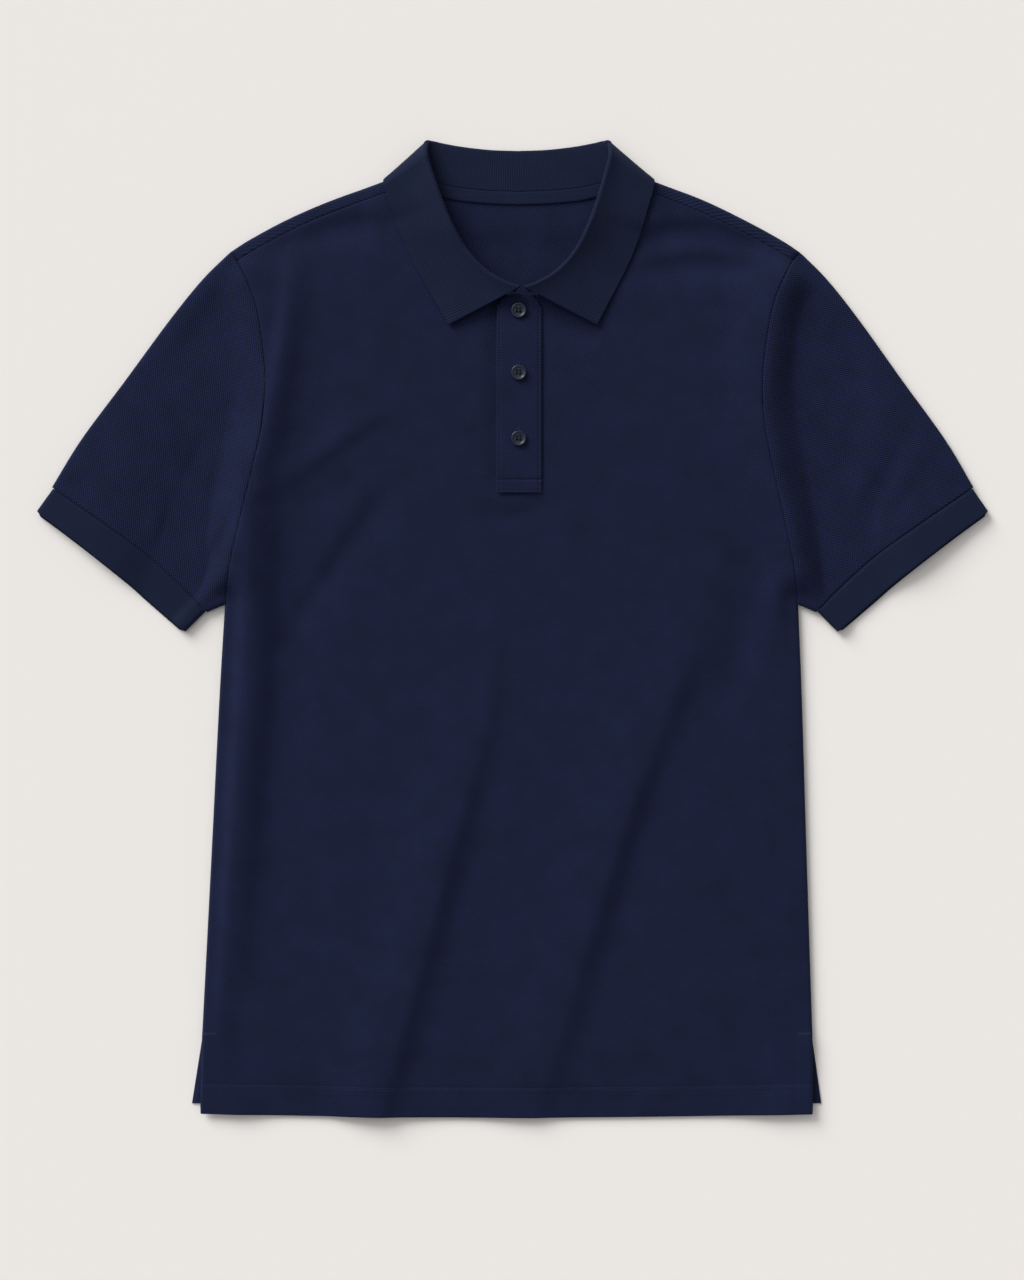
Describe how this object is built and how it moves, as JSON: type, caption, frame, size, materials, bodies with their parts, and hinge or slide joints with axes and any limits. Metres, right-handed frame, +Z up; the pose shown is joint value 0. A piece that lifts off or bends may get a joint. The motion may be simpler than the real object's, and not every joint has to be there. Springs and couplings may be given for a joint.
{
  "type": "polo shirt",
  "caption": "Short-sleeved polo shirt laid out flat, with a fold-over knitted collar, a buttoned half placket, ribbed sleeve bands and side vents",
  "frame": {"origin": "on the surface that the shirt lies on, under the middle of its bounding box", "axes": "+X runs across the shirt to the viewer's right as seen from above with the collar at the top, +Y runs from the hem towards the collar, +Z is up off the surface"},
  "size_m": [0.762, 0.7828, 0.0228],
  "materials": {
    "pique": "navy cotton pique knit, matt",
    "rib": "navy flat-knit cotton rib, matt",
    "tape": "navy cotton twill tape, matt",
    "resin": "dark navy polyester resin, polished"
  },
  "bodies": {
    "root": {"front": "pique", "back": "pique", "sleeve_left": "pique", "sleeve_right": "pique", "cuff_left": "rib", "cuff_right": "rib", "collar": "rib", "neck_tape": "tape", "placket": "pique", "placket_under": "pique", "button_top": "resin", "button_middle": "resin", "button_bottom": "resin"}
  },
  "joints": []
}
